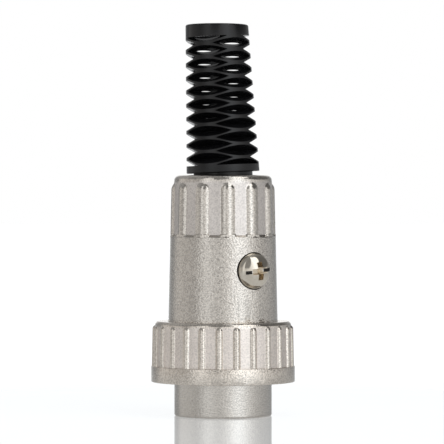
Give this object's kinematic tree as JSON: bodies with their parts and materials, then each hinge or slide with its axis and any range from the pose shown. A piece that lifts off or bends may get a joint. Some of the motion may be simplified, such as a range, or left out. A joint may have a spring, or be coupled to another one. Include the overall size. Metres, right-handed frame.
{
  "type": "screw-locking round cable plug",
  "caption": "Round metal cable plug with a threaded coupling ring, a ribbed sleeve, a slotted bend-relief boot and contact pins inside a shield skirt.",
  "frame": {"origin": "on the plug's axis at the mouth of the shield skirt, which the plug stands on", "axes": "+Z along the plug's axis from the mating face to the cable boot, -Y the front of the picture's view, +X to its right"},
  "size_m": [0.0195, 0.0194, 0.0529],
  "materials": {
    "satin_nickel": "satin nickel plating on a tumbled zinc die casting",
    "bright_steel": "bright nickel-plated steel",
    "boot_plastic": "flexible moulded plastic, satin black",
    "insert_plastic": "moulded glass-filled plastic, black",
    "contact_silver": "silver plating on turned brass"
  },
  "bodies": {
    "plug": {"bend_relief_boot": "boot_plastic", "rear_sleeve": "satin_nickel", "sleeve_screw": "bright_steel", "front_shell": "satin_nickel", "contact_insert": "insert_plastic", "contact_pin_1": "contact_silver", "contact_pin_2": "contact_silver", "contact_pin_3": "contact_silver", "contact_pin_4": "contact_silver", "contact_pin_5": "contact_silver", "clamp_chassis": "satin_nickel", "cable_clamp": "bright_steel", "clamp_screw_left": "bright_steel", "clamp_screw_right": "bright_steel"},
    "ring": {"coupling_ring": "satin_nickel"}
  },
  "joints": [
    {"name": "ring_spin", "type": "hinge", "parent": "plug", "child": "ring", "pos_m": [0, 0, 0.012], "axis": [0, 0, 1], "continuous": true}
  ]
}
